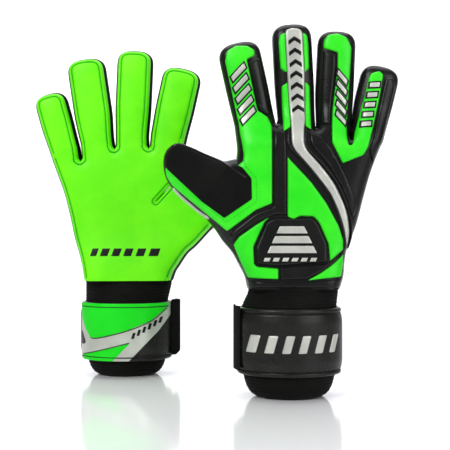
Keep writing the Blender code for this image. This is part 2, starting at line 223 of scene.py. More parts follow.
def triangulate(outline, seeds):
    """Triangles over a closed outline and the points inside it."""
    seeds = seeds[inside(seeds, outline)] if len(seeds) else seeds
    points = [Vector(p) for p in np.vstack([outline, seeds])]
    count = len(outline)
    edges = [(n, (n + 1) % count) for n in range(count)]
    flat, _, faces, _, _, _ = delaunay_2d_cdt(points, edges, [], 1, 1e-5)
    return np.array([tuple(p) for p in flat]), [tuple(f) for f in faces]


class Glove:
    """One glove: its outline, and the height of its skin on the palm and the back."""

    def __init__(self, sizes):
        self.sizes = sizes
        self.name = sizes["name"]
        self.turned = sizes["turned"]
        self.digits = sizes["digits"]
        wrist = joints[self.name + "_wrist_bend"]["pos_m"]
        self.origin = (wrist[0], wrist[1])
        self.lay_outline()

    def place(self, digit, across, along):
        (x, z), lean, _, _ = self.digits[digit]
        angle = math.radians(lean)
        return (
            x + along * math.sin(angle) + across * math.cos(angle),
            z + along * math.cos(angle) - across * math.sin(angle),
        )

    def along(self, digit, points):
        (x, z), lean, _, _ = self.digits[digit]
        angle = math.radians(lean)
        offset = points - np.array([x, z])
        u = offset[:, 0] * math.sin(angle) + offset[:, 1] * math.cos(angle)
        v = offset[:, 0] * math.cos(angle) - offset[:, 1] * math.sin(angle)
        return u, v

    def finger_path(self, digit):
        _, _, length, (low_base, low_mid, high_base, high_mid) = self.digits[digit]
        reach = np.linspace(3.0, length - TIP_REACH, 14)
        grow = smooth(reach / 30.0)
        low = [(-(low_base + (low_mid - low_base) * g), u) for g, u in zip(grow, reach)]
        high = [(high_base + (high_mid - high_base) * g, u) for g, u in zip(grow, reach)]
        middle = (high_mid - low_mid) / 2.0
        half = (high_mid + low_mid) / 2.0
        tip = []
        for angle in np.linspace(math.pi, 0.0, 27)[1:-1]:
            c, s = math.cos(angle), math.sin(angle)
            v = middle + half * math.copysign(abs(c) ** (2 / TIP_POWER), c)
            tip.append((v, length - TIP_REACH + TIP_REACH * s ** (2 / TIP_POWER)))
        return [self.place(digit, v, u) for v, u in (*low, *tip, *reversed(high))]

    def lay_outline(self):
        sizes = self.sizes
        scale = sizes["thumb_scale"]
        low_start = self.place("little", -self.digits["little"][3][0], 0.0)
        index_end = self.place("index", self.digits["index"][3][2], 0.0)
        thumb_low = self.place("thumb", self.digits["thumb"][3][2], 0.0)
        ends = [low_start, *sizes["crotches"], index_end]
        parts = [("little_side", curve_through([*sizes["little_side"], low_start], OUTLINE_STEP))]
        for n, digit in enumerate(FINGERS):
            path = [ends[n], *self.finger_path(digit), ends[n + 1]]
            parts.append((digit, resample(path, OUTLINE_STEP)))
        web = [index_end, *sizes["web"], sizes["web_end"]]
        parts.append(("web", curve_through(web, OUTLINE_STEP)))
        thumb = [self.place("thumb", v * scale, u) for u, v in THUMB_OUTLINE]
        parts.append(("thumb", curve_through([sizes["web_end"], *thumb, thumb_low], OUTLINE_STEP)))
        side = [thumb_low, *reversed(sizes["thumb_side"])]
        parts.append(("thumb_side", curve_through(side, OUTLINE_STEP)))
        path = []
        self.spans = {}
        for name, points in parts:
            start = max(0, len(path) - 1)
            path.extend(points if not path else points[1:])
            self.spans[name] = (start, len(path))
        self.path = np.array(path)
        run = np.diff(self.path, axis=0)
        run /= np.linalg.norm(run, axis=1)[:, None]
        before = np.vstack([run[:1], run])
        after = np.vstack([run, run[-1:]])
        facing = np.column_stack([before[:, 1] + after[:, 1], -(before[:, 0] + after[:, 0])])
        facing /= np.maximum(np.linalg.norm(facing, axis=1), 1e-6)[:, None]
        lean = np.abs(facing[:, 0] * before[:, 1] - facing[:, 1] * before[:, 0])
        self.normals = facing / np.clip(lean, 0.6, 1.0)[:, None]
        samples = resample(self.path, 1.0)
        self.samples = (samples[:-1] + samples[1:]) / 2.0
        self.weights = np.linalg.norm(np.diff(samples, axis=0), axis=1)
        self.starts = {}
        for digit in DIGITS:
            low, high = self.spans[digit]
            u, _ = self.along(digit, self.path[[low, high - 1]])
            self.starts[digit] = max(0.0, float(u.max())) + 0.2

    def distance(self, points):
        return edge_distance(points, self.path[:-1], self.path[1:])

    def depth(self, points):
        """How far inside the outline a point is, smoothed where two sides are equally near."""
        near = self.distance(points)
        total = np.empty(len(points))
        sample_square = (self.samples**2).sum(1)
        for low in range(0, len(points), 2000):
            p = points[low:low + 2000]
            square = (p**2).sum(1)[:, None] + sample_square - 2.0 * (p @ self.samples.T)
            total[low:low + 2000] = (1.0 / np.maximum(square, 0.04) ** 2) @ self.weights
        soft = (math.pi / (2.0 * total)) ** (1.0 / 3.0)
        share = smooth((near - SHARP_BAND) / SOFTEN_OVER)
        return near * (1.0 - share) + soft * share

    def fingerness(self, points):
        up = smooth((points[:, 1] - (self.sizes["crotches"][1][1] - 16.0)) / 34.0)
        u, v = self.along("thumb", points)
        out = smooth((u + 6.0) / 34.0) * (1.0 - smooth((np.abs(v) - 22.0) / 13.0))
        return np.maximum(up, out)

    def skin(self, points, side):
        """The skin's y on the back (side 1) or the palm (side -1)."""
        points = np.asarray(points, float)
        share = self.fingerness(points)
        wrist = 1.0 - smooth((points[:, 1] - self.sizes["hem"]) / WRIST_FADE)
        half = HAND_HALF + (WRIST_HALF - HAND_HALF) * wrist
        half = half * (1.0 - share) + FINGER_HALF * share
        swell = 1.0 - np.exp(-self.depth(points) / SWELL_REACH)
        rise = half * np.sqrt(np.clip(1.0 - (1.0 - swell) ** 2, 0.0, 1.0))
        return FINGER_CENTRE * share + side * rise

    def to_frame(self, points):
        points = np.asarray(points, float) * MM
        turn = -1.0 if self.turned else 1.0
        return np.column_stack(
            [
                self.origin[0] + turn * points[:, 0],
                self.origin[1] + turn * points[:, 1],
                points[:, 2],
            ]
        )


class Warp:
    """A smooth map that carries a hand's design from one glove's landmarks to the other's."""

    def __init__(self, source, target):
        self.source = np.array(source, float)
        count = len(source)
        kernel = self.kernel(self.source)
        plane = np.column_stack([np.ones(count), self.source])
        system = np.zeros((count + 3, count + 3))
        system[:count, :count] = kernel
        system[:count, count:] = plane
        system[count:, :count] = plane.T
        values = np.zeros((count + 3, 2))
        values[:count] = target
        self.weights = np.linalg.solve(system, values)

    def kernel(self, points):
        square = ((points[:, None, :] - self.source[None]) ** 2).sum(2)
        return square * np.log(square + 1e-9)

    def __call__(self, point):
        points = np.array([point], float)
        plane = np.column_stack([np.ones(1), points])
        found = np.hstack([self.kernel(points), plane]) @ self.weights
        return float(found[0, 0]), float(found[0, 1])


def landmarks(glove):
    points = list(glove.sizes["crotches"])
    for digit in DIGITS:
        widths = glove.digits[digit][3]
        points.append(glove.place(digit, -widths[0], 0.0))
        points.append(glove.place(digit, widths[2], 0.0))
    for name, share in (("little_side", 0.0), ("little_side", 0.5), ("thumb_side", 1.0)):
        low, high = glove.spans[name]
        points.append(tuple(glove.path[int(low + (high - 1 - low) * share)]))
    points.append(glove.sizes["web_end"])
    points.append(glove.place("thumb", 0.0, 40.0))
    return points


# Making pieces


def deselect():
    bpy.ops.object.select_all(action="DESELECT")


def new_object(name, bm, material, crease=0.75):
    bmesh.ops.remove_doubles(bm, verts=bm.verts, dist=2e-6)
    bmesh.ops.dissolve_degenerate(bm, edges=bm.edges, dist=1e-7)
    bmesh.ops.recalc_face_normals(bm, faces=bm.faces)
    for face in bm.faces:
        face.smooth = True
    for edge in bm.edges:
        if len(edge.link_faces) == 2 and edge.calc_face_angle(0.0) > crease:
            edge.smooth = False
    mesh = bpy.data.meshes.new(name)
    bm.to_mesh(mesh)
    bm.free()
    piece = bpy.data.objects.new(name, mesh)
    bpy.context.scene.collection.objects.link(piece)
    mesh.materials.append(MATERIALS[material])
    return piece


def solid(glove, name, flat, faces, top, bottom, material, crease=0.75):
    """A closed piece between two heights over the same triangles."""
    upper = glove.to_frame(np.column_stack([flat[:, 0], top, flat[:, 1]]))
    lower = glove.to_frame(np.column_stack([flat[:, 0], bottom, flat[:, 1]]))
    bm = bmesh.new()
    a = [bm.verts.new(p) for p in upper]
    b = [bm.verts.new(p) for p in lower]
    used = {}
    for face in faces:
        bm.faces.new([a[n] for n in face])
        bm.faces.new([b[n] for n in reversed(face)])
        for n in range(len(face)):
            pair = (face[n], face[(n + 1) % len(face)])
            used[pair] = used.get(pair, 0) + 1
    for start, end in used:
        if (end, start) not in used:
            bm.faces.new([a[end], a[start], b[start], b[end]])
    return new_object(name, bm, material, crease)


def hold(glove, piece, part, rider=None):
    """A hand piece rides on the hand. A digit's piece only has its transform baked into its mesh; the
    ends of its crease are worked out but not used.

    A piece with a rider named rides on that body."""
    hand = glove.name + "_hand"
    if rider or part == "hand":
        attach(piece, rider or hand)
        return
    start = glove.starts[part]
    low = glove.place(part, 0.0, start)
    high = glove.place(part, 0.0, start + BEND_SPAN)
    ends = glove.to_frame([(low[0], BEND_Y, low[1]), (high[0], BEND_Y, high[1])])
    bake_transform(piece)


def region(glove, part, inset):
    """A part's closed outline, set in from the silhouette, and its cut edges."""
    edge = glove.path + glove.normals * inset

    def cut(digit, backwards):
        low, high = glove.spans[digit]
        line = resample([edge[low], edge[high - 1]], 1.5)
        return line[::-1] if backwards else line

    if part != "hand":
        low, high = glove.spans[part]
        line = cut(part, True)
        return np.vstack([edge[low:high], line[1:-1]]), [(line[0], line[-1])]
    pieces = []
    cuts = []
    for name in ("little_side", *FINGERS, "web", "thumb", "thumb_side"):
        low, high = glove.spans[name]
        if name in DIGITS:
            line = cut(name, False)
            cuts.append((line[0], line[-1]))
        else:
            line = edge[low:high]
        pieces.append(line if not pieces else line[1:])
    hem = resample([pieces[-1][-1], pieces[0][0]], 1.5)
    cuts.append((hem[0], hem[-1]))
    pieces.append(hem[1:-1])
    return np.vstack(pieces), cuts


def region_mesh(glove, part, inset, rings, extra=()):
    outline, cuts = region(glove, part, inset)
    seeds = list(extra)
    for offset in rings:
        ring = glove.path + glove.normals * (inset + offset)
        ring = ring[:: 1 if offset < 1.6 else 2]
        near = glove.distance(ring)
        seeds.append(ring[near > (inset + offset) * 0.94])
    grid = hex_grid(outline, GRID)
    seeds.append(grid[glove.distance(grid) > inset + rings[-1] + GRID * 0.6])
    seeds = np.vstack(seeds)
    starts = np.array([c[0] for c in cuts])
    ends = np.array([c[1] for c in cuts])
    seeds = seeds[edge_distance(seeds, starts, ends) > 0.6]
    return triangulate(outline, seeds)


def body(glove, part):
    """The fabric stall on the palm side and the foam shell on the back, up to the silhouette."""
    flat, faces = region_mesh(glove, part, 0.0, BODY_RINGS)
    middle = FINGER_CENTRE * glove.fingerness(flat)
    rim = glove.distance(flat) < 1e-4
    palm = np.where(rim, middle, glove.skin(flat, -1))
    back = np.where(rim, middle, glove.skin(flat, 1))
    prefix = glove.name + "_" + part
    lining = solid(glove, prefix + "_lining", flat, faces, palm, middle, "gusset")
    shell = solid(glove, prefix + "_shell", flat, faces, back, middle, "black_foam")
    for piece in (lining, shell):
        hold(glove, piece, part)
    if part == "hand":
        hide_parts(glove.name + "_hand_lining")
        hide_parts(glove.name + "_back_shell")
    else:
        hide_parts(prefix + "_stall")
        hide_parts(prefix + "_back")


def palm_pad(glove, part, slit):
    """The latex palm: a soft pad with a rolled rim, a sewn groove inside it, and the thumb's slit."""
    start, end = slit
    run = (end - start) / np.linalg.norm(end - start)
    across = np.array([run[1], -run[0]])
    length = np.linalg.norm(end - start)
    extra = []
    if part == "hand":
        for offset in (0.0, 0.6, 1.2, 1.9, 2.5, 3.0, 3.6, 4.4):
            for side in (-1, 1):
                t = np.arange(-3.0, length + 3.0, 0.9)[:, None]
                extra.append(start + run * t + across * side * offset)
    flat, faces = region_mesh(glove, part, PAD_INSET, PAD_RINGS, extra)
    near = np.maximum(glove.distance(flat) - PAD_INSET, 0.0)
    share = np.clip(near / PAD_RIM, 0.0, 1.0)
    foam = PAD_FOAM * np.sqrt(1.0 - (1.0 - share) ** 2)
    foam -= SEAM_DEPTH * np.exp(-(((near + PAD_INSET - SEAM_INSET) / 0.6) ** 2))
    slot = edge_distance(flat, start[None], end[None])
    foam -= SEAM_DEPTH * np.exp(-(((slot - SLIT_SEAM) / 0.55) ** 2)) + 2.4 * np.exp(-((slot / 0.9) ** 2))
    foam = np.maximum(foam, 0.0)
    base = glove.skin(flat, -1)
    name = glove.name + "_" + part + "_latex"
    piece = solid(glove, name, flat, faces, base - foam, base + 0.6, "palm_latex")
    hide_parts(glove.name + ("_palm_latex" if part == "hand" else f"_{part}_latex"))
    hold(glove, piece, part)


def palm_seams(glove, slit):
    """The seam line in the pad's groove, up and down each digit and round the slit: a tube whose darker
    green is partly the thread's own colour and partly painted shade of the groove.
    """

    def palm(points):
        return glove.skin(points, -1)

    # Each seam tube sits in the groove and is darker green than the latex: partly the thread's colour,
    # partly painted shade standing in for the groove's shadow.
    def thread(name, part, path, radius, lift=PAD_FOAM - SEAM_DEPTH + 0.35):
        tube(glove, name, part, path, radius, "shaded_seam_thread", palm, out=-1, lift=lift)

    edge = glove.path + glove.normals * SEAM_INSET
    clear = glove.distance(edge) > SEAM_INSET * 0.95
    runs = {}
    for name, (low, high) in glove.spans.items():
        runs[name] = edge[low + 2:high - 2][clear[low + 2:high - 2]]
    arcs = []
    for n, crotch in enumerate(glove.sizes["crotches"]):
        first = runs[FINGERS[n]][-1] - np.array(crotch)
        last = runs[FINGERS[n + 1]][0] - np.array(crotch)
        start = math.atan2(first[1], first[0])
        end = math.atan2(last[1], last[0])
        if start > 0:
            start -= 2 * math.pi
        if end < start:
            end += 2 * math.pi
        turn = np.linspace(start, end, 16)[:, None]
        reach = np.linspace(np.linalg.norm(first), np.linalg.norm(last), 16)[:, None]
        arcs.append(crotch + reach * np.hstack([np.cos(turn), np.sin(turn)]))
    for name, run in runs.items():
        part = name if name in DIGITS else "hand"
        thread(f"{name}_seam", part, run, 0.62)
    for n, arc in enumerate(arcs):
        thread(f"crotch_seam_{n}", "hand", arc, 0.62, PAD_FOAM - SEAM_DEPTH + 0.6)
    start, end = slit
    run = (end - start) / np.linalg.norm(end - start)
    aside = np.array([run[1], -run[0]])
    half = np.linspace(-math.pi / 2, math.pi / 2, 12)[:, None]
    far = end + SLIT_SEAM * (run * np.cos(half) + aside * np.sin(half))
    near = start - SLIT_SEAM * (run * np.cos(half) + aside * np.sin(half))
    loop = resample([*far, *near, far[0]], 0.9)
    thread("slit_seam", "hand", loop, 0.6)
    middle = (start + end) / 2.0
    lens = (start - run, middle + aside * 1.5, end + run * 0.6, middle - aside * 1.5)
    panel(glove, "slit_opening", "hand", [tuple(p) for p in lens], "black_fabric", palm, out=-1,
          thick=0.4, rim=0.4, lift=1.4, corner=3.0, grid=1.2)
    lens = (middle - run * 3.0, middle + run * 3.0 + aside, end, middle + run * 3.0 - aside * 0.6)
    panel(glove, "slit_lining", "hand", [tuple(p) for p in lens], "silver_film", palm, out=-1,
          thick=0.3, rim=0.3, lift=1.8, corner=2.0, grid=1.0)


def corner_outline(glove, corners, corner, step, warp):
    """A closed outline from corners, rounded, and which of its edges are cuts at a crease.

    A corner is (x, z) on the hand, or (digit, across) on that digit's crease."""
    places = []
    marks = []
    for point in corners:
        if isinstance(point[0], str):
            digit, v = point
            v *= glove.digits[digit][3][1] / FRONT["digits"][digit][3][1]
            places.append(glove.place(digit, v, glove.starts[digit]))
            marks.append(digit)
        else:
            places.append(warp(point) if warp else point)
            marks.append(None)
    places = np.array(places, float)
    count = len(places)
    out = []
    cuts = []
    for n in range(count):
        here, before, after = places[n], places[n - 1], places[(n + 1) % count]
        is_cut = marks[n] is not None and marks[n] == marks[(n + 1) % count]
        if marks[n] is not None:
            arc = [here]
        else:
            back, on = before - here, after - here
            reach = min(corner, 0.42 * np.linalg.norm(back), 0.42 * np.linalg.norm(on))
            p = here + back / np.linalg.norm(back) * reach
            q = here + on / np.linalg.norm(on) * reach
            arc = [
                p * (1 - t) ** 2 + 2 * here * t * (1 - t) + q * t * t for t in (0, 0.25, 0.5, 0.75, 1)
            ]
        out.append(np.array(arc))
        cuts.append(is_cut)
    points = []
    solid_edges = []
    for n in range(count):
        arc = out[n]
        points.extend(arc)
        solid_edges.extend([True] * (len(arc) - 1))
        run = resample([arc[-1], out[(n + 1) % count][0]], step)
        points.extend(run[1:-1])
        solid_edges.extend([not cuts[n]] * (len(run) - 1))
    return np.array(points), np.array(solid_edges)


def panel(glove, name, part, corners, material, skin, out=1, thick=1.6, rim=1.3, lift=0.0,
          corner=1.2, step=0.9, warp=None, node=None, grid=GRID, rider=None):
    """A raised pad that follows the surface under it, with a rounded rim."""
    outline, closed = corner_outline(glove, corners, corner, step, warp)
    starts = outline[closed]
    ends = np.roll(outline, -1, axis=0)[closed]
    along = np.roll(outline, -1, axis=0) - np.roll(outline, 1, axis=0)
    along /= np.maximum(np.linalg.norm(along, axis=1), 1e-9)[:, None]
    facing = np.column_stack([along[:, 1], -along[:, 0]])
    area = (outline[:, 0] * np.roll(outline[:, 1], -1) - np.roll(outline[:, 0], -1) * outline[:, 1]).sum()
    if area > 0:
        facing = -facing
    seeds = []
    for offset in (rim * 0.1, rim * 0.35, rim * 0.7, rim):
        ring = outline + facing * offset
        seeds.append(ring[edge_distance(ring, starts, ends) > offset * 0.95])
    points = hex_grid(outline, grid)
    seeds.append(points[edge_distance(points, starts, ends) > rim + grid * 0.4])
    seeds = np.vstack(seeds)
    cut_starts = outline[~closed]
    if len(cut_starts):
        cut_ends = np.roll(outline, -1, axis=0)[~closed]
        seeds = seeds[edge_distance(seeds, cut_starts, cut_ends) > 0.35]
    flat, faces = triangulate(outline, seeds)
    near = edge_distance(flat, starts, ends)
    share = np.clip(near / rim, 0.0, 1.0)
    foam = thick * (0.25 + 0.75 * np.sqrt(1.0 - (1.0 - share) ** 2))
    base = skin(flat)
    top = base + out * (lift + foam)
    bottom = base + out * (lift - 0.5)
    piece = solid(glove, f"{glove.name}_{name}", flat, faces, top, bottom, material, 0.9)
    hold(glove, piece, part, rider)
    if node:
        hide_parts(f"{glove.name}_{node}")


def tube(glove, name, part, path, radius, material, skin, out=1, lift=0.0, rider=None):
    """Piping: a thin tube laid along a path on the surface."""
    path = np.asarray(path, float)
    height = skin(path) + out * lift
    centre = np.column_stack([path[:, 0], height, path[:, 1]])
    along = np.gradient(centre, axis=0)
    along /= np.linalg.norm(along, axis=1)[:, None]
    up = np.array([0.0, out, 0.0]) - along * (along @ np.array([0.0, out, 0.0]))[:, None]
    up /= np.linalg.norm(up, axis=1)[:, None]
    side = np.cross(along, up)
    bm = bmesh.new()
    rings = []
    for n in range(len(centre)):
        taper = 0.35 if n in (0, len(centre) - 1) else 1.0
        ring = []
        for angle in np.linspace(0.0, 2 * math.pi, TUBE_SIDES + 1)[:-1]:
            offset = up[n] * math.cos(angle) + side[n] * math.sin(angle)
            ring.append(centre[n] + offset * radius * taper)
        rings.append([bm.verts.new(p) for p in glove.to_frame(ring)])
    for a, b in zip(rings[:-1], rings[1:]):
        for n in range(TUBE_SIDES):
            k = (n + 1) % TUBE_SIDES
            bm.faces.new([a[n], a[k], b[k], b[n]])
    bm.faces.new(rings[0])
    bm.faces.new(list(reversed(rings[-1])))
    piece = new_object(f"{glove.name}_{name}", bm, material)
    hold(glove, piece, part, rider)


def stitches(glove, name, part, path, material, skin, lift=0.0, rider=None):
    """A row of short raised stitches along a path."""
    path = np.asarray(path, float)
    gaps = np.linalg.norm(np.diff(path, axis=0), axis=1)
    reach = np.concatenate([[0.0], np.cumsum(gaps)])
    middles = np.arange(STITCH_PITCH / 2, reach[-1], STITCH_PITCH)
    half = STITCH_PITCH * 0.32
    ends = []
    for offset in (-half, half):
        x = np.interp(middles + offset, reach, path[:, 0])
        z = np.interp(middles + offset, reach, path[:, 1])
        ends.append(np.column_stack([x, z]))
    heights = [skin(end) + lift for end in ends]
    bm = bmesh.new()
    for n in range(len(middles)):
        a = np.array([ends[0][n][0], heights[0][n], ends[0][n][1]])
        b = np.array([ends[1][n][0], heights[1][n], ends[1][n][1]])
        run = (b - a) / max(np.linalg.norm(b - a), 1e-6)
        side = np.cross(run, [0.0, 1.0, 0.0])
        side /= max(np.linalg.norm(side), 1e-6)
        up = np.array([0.0, 1.0, 0.0])
        wide, narrow = side * STITCH_SIZE, side * 0.16
        low = [a - wide, a + wide, b + wide, b - wide]
        c = a + run * 0.3 + up * STITCH_SIZE
        d = b - run * 0.3 + up * STITCH_SIZE
        high = [c - narrow, c + narrow, d + narrow, d - narrow]
        base = [bm.verts.new(p) for p in glove.to_frame(low)]
        top = [bm.verts.new(p) for p in glove.to_frame(high)]
        bm.faces.new(top)
        bm.faces.new(list(reversed(base)))
        for k in range(4):
            bm.faces.new([base[k], base[(k + 1) % 4], top[(k + 1) % 4], top[k]])
    piece = new_object(f"{glove.name}_{name}", bm, material)
    hold(glove, piece, part, rider)


# Materials


def linear(red, green, blue):
    """A colour given in display values from 0 to 255."""
    out = []
    for value in (red, green, blue):
        value /= 255.0
        out.append(value / 12.92 if value <= 0.04045 else ((value + 0.055) / 1.055) ** 2.4)
    return (*out, 1.0)


def add_node(tree, kind, **values):
    node = tree.nodes.new(kind)
    for key, value in values.items():
        if hasattr(node, key) and key not in node.inputs:
            setattr(node, key, value)
        else:
            node.inputs[key].default_value = value
    return node


def finish(name, colour, darker, roughness, grain, bump, gleam, metallic=0.0, rough_spread=0.08,
           sheen=0.0, weave=0.0):
    """A surface with slow colour changes, a fine grain or weave, and uneven gloss."""
    material = bpy.data.materials.new(name)
    material.use_nodes = True
    tree = material.node_tree
    shader = tree.nodes["Principled BSDF"]
    shader.inputs["Metallic"].default_value = metallic
    shader.inputs["Specular IOR Level"].default_value = gleam
    shader.inputs["Sheen Weight"].default_value = sheen
    shader.inputs["Sheen Roughness"].default_value = 0.5
    place = tree.nodes.new("ShaderNodeTexCoord")
    slow = add_node(tree, "ShaderNodeTexNoise", Scale=PATCH_SCALE, Detail=3.0, Roughness=0.55)
    tree.links.new(place.outputs["Object"], slow.inputs["Vector"])
    ramp = tree.nodes.new("ShaderNodeValToRGB")
    ramp.color_ramp.elements[0].position = 0.35
    ramp.color_ramp.elements[1].position = 0.68
    ramp.color_ramp.elements[0].color = linear(*darker)
    ramp.color_ramp.elements[1].color = linear(*colour)
    tree.links.new(slow.outputs["Fac"], ramp.inputs["Fac"])
    tree.links.new(ramp.outputs["Color"], shader.inputs["Base Color"])
    fine = add_node(tree, "ShaderNodeTexNoise", Scale=grain, Detail=2.0, Roughness=0.6)
    tree.links.new(place.outputs["Object"], fine.inputs["Vector"])
    gloss = add_node(tree, "ShaderNodeMapRange")
    gloss.inputs["To Min"].default_value = roughness - rough_spread
    gloss.inputs["To Max"].default_value = roughness + rough_spread
    tree.links.new(fine.outputs["Fac"], gloss.inputs["Value"])
    tree.links.new(gloss.outputs["Result"], shader.inputs["Roughness"])
    height = fine.outputs["Fac"]
    if weave:
        waves = []
        for direction in ("X", "Z"):
            wave = add_node(tree, "ShaderNodeTexWave", bands_direction=direction, Scale=weave)
            wave.inputs["Distortion"].default_value = 0.6
            tree.links.new(place.outputs["Object"], wave.inputs["Vector"])
            waves.append(wave)
        both = add_node(tree, "ShaderNodeMath", operation="MAXIMUM")
        tree.links.new(waves[0].outputs["Fac"], both.inputs[0])
        tree.links.new(waves[1].outputs["Fac"], both.inputs[1])
        mixed = add_node(tree, "ShaderNodeMath", operation="MULTIPLY")
        tree.links.new(both.outputs[0], mixed.inputs[0])
        tree.links.new(fine.outputs["Fac"], mixed.inputs[1])
        height = mixed.outputs[0]
    raised = add_node(tree, "ShaderNodeBump", Strength=bump, Distance=GRAIN_DEPTH)
    tree.links.new(height, raised.inputs["Height"])
    tree.links.new(raised.outputs["Normal"], shader.inputs["Normal"])
    return material


# Name: the record's slot, colour, darker colour, roughness, grain, bump, gleam, and the rest.
FINISHES = {
    "palm_latex": ("lime_latex", (114, 240, 12), (99, 231, 4), 0.45, 1300.0, 0.1, 0.22, {}),
    # The seam tubes' darker green is partly the thread's own colour and partly painted shade for the
    # pad's sewn groove.
    "shaded_seam_thread": ("lime_latex", (42, 180, 16), (28, 160, 8), 0.6, 3000.0, 0.3, 0.15, {}),
    "green_foam": ("green_foam", (56, 226, 30), (32, 214, 20), 0.36, 1500.0, 0.14, 0.3, {}),
    "strap_green": ("green_foam", (10, 222, 24), (4, 212, 16), 0.36, 1500.0, 0.12, 0.3, {}),
    "black_foam": ("black_foam", (24, 25, 23), (15, 16, 15), 0.24, 1600.0, 0.22, 0.22, {}),
    "strap_leather": ("strap_rubber", (30, 31, 28), (20, 20, 18), 0.28, 1400.0, 0.35, 0.24, {}),
    "black_fabric": ("black_fabric", (20, 21, 19), (13, 14, 13), 0.88, 2200.0, 0.5, 0.06,
                     {"sheen": 0.03, "weave": 420.0, "rough_spread": 0.05}),
    "gusset": ("black_fabric", (18, 19, 18), (9, 10, 9), 0.7, 2000.0, 0.35, 0.1,
               {"sheen": 0.02, "weave": 420.0}),
    "silver_film": ("silver_film", (208, 210, 200), (182, 184, 176), 0.32, 1800.0, 0.08, 0.4,
                    {"metallic": 0.3}),
    "elastic_rib": ("elastic_rib", (19, 18, 16), (9, 9, 8), 0.78, 2400.0, 0.5, 0.08,
                    {"sheen": 0.03, "weave": 520.0, "rough_spread": 0.06}),
    "hook_tape": ("hook_tape", (24, 24, 24), (10, 10, 10), 0.9, 3200.0, 1.0, 0.15,
                  {"sheen": 0.1, "rough_spread": 0.05}),
    "black_thread": ("black_foam", (26, 26, 24), (14, 14, 13), 0.6, 3000.0, 0.3, 0.2, {}),
    "green_thread": ("green_foam", (40, 205, 34), (24, 186, 20), 0.55, 3000.0, 0.3, 0.2, {}),
}
MATERIALS = {
    name: finish(name, *values, **rest) for name, (_, *values, rest) in FINISHES.items()
}


# Cuff, wrist elastic and strap


def loops_to_piece(glove, name, loops, material, closed, crease=0.75):
    """Skin between rows of points. Closed rows go right round."""
    bm = bmesh.new()
    rows = [[bm.verts.new(p) for p in glove.to_frame(row)] for row in loops]
    count = len(rows[0])
    for a, b in zip(rows, rows[1:] + rows[:1]):
        for n in range(count if closed else count - 1):
            k = (n + 1) % count
            bm.faces.new([a[n], a[k], b[k], b[n]])
    if not closed:
        for n in (0, -1):
            bm.faces.new([row[n] for row in rows])
    return new_object(name, bm, material, crease)


def oval(half_width, half_depth, z, shift=0.0, count=144):
    angle = np.linspace(0.0, 2 * math.pi, count, endpoint=False)
    return np.column_stack(
        [shift + half_width * np.cos(angle), half_depth * np.sin(angle), np.full(count, z)]
    )


def rib(z, pitch, height):
    """Elastic's horizontal ribs: round cords with narrow grooves between them."""
    return height * (np.abs(math.cos(math.pi * z / pitch)) ** 0.6 - 0.5)


def make_cuff(glove):
    high = glove.sizes["strap_low"] + STRAP_HEIGHT
    profile_z = (0.0, 0.8, 2.2, 4.4, 7.4, 11.0, 15.0, 20.0, 27.0, high - 4.0)
    profile_x = (21.5, 24.6, 27.0, 29.2, 30.9, 32.2, 33.2, 33.9, 34.2, 34.2)
    loops = []
    for z in np.arange(0.0, high - 4.0, 0.5):
        half = np.interp(z, profile_z, profile_x)
        swell = rib(z, 2.6, 0.5) * smooth((z - 1.2) / 2.0)
        loops.append(oval(half + swell, half * 0.79 + swell, z))
    for z in np.arange(high - 4.0, 0.9, -1.5):
        half = np.interp(z, profile_z, profile_x) - 2.4
        loops.append(oval(half, half * 0.79, z))
    half = profile_x[0] - 1.6
    loops.append(oval(half, half * 0.79, 0.3))
    piece = loops_to_piece(glove, glove.name + "_cuff_elastic_knit", loops, "elastic_rib", True, 1.3)
    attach(piece, glove.name + "_cuff")
    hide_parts(glove.name + "_cuff_elastic")


def make_wrist(glove):
    """The ribbed elastic between the strap and the hand's hem."""

    def section(z, out):
        share = float(smooth((z - low - 7.0) / (hem - low - 7.0)))
        half = ELASTIC_HALF_WIDTH + (top_half - ELASTIC_HALF_WIDTH) * share
        depth = ELASTIC_HALF_DEPTH + (WRIST_HALF + 1.2 - ELASTIC_HALF_DEPTH) * share
        return oval(half + out, depth + out, z, shift_top * share)

    hem = glove.sizes["hem"]
    low = glove.sizes["strap_low"] + STRAP_HEIGHT - 9.0
    left = float(np.interp(hem, glove.path[:30, 1], glove.path[:30, 0]))
    right = float(glove.path[-1, 0])
    shift_top = (left + right) / 2.0
    top_half = (right - left) / 2.0 - 1.3
    heights = np.arange(low, hem + 2.2, 0.45)
    loops = [section(z, rib(z, 2.3, 0.62)) for z in heights]
    loops += [section(z, -2.0) for z in reversed(heights[::3])]
    piece = loops_to_piece(glove, glove.name + "_wrist_elastic_knit", loops, "elastic_rib", True, 1.3)
    bend_low = glove.to_frame([(0.0, 0.0, low + 9.5)])[0]
    bend_high = glove.to_frame([(0.0, 0.0, hem - 0.5)])[0]
    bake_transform(piece)
    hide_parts(glove.name + "_wrist_elastic")


def strap_skin(side):
    def skin(points):
        points = np.asarray(points, float)
        share = np.clip(1.0 - (points[:, 0] / (STRAP_HALF_WIDTH + 0.5)) ** 2, 0.0, 1.0)
        return side * (STRAP_HALF_DEPTH + 0.5) * np.sqrt(share)
    return skin


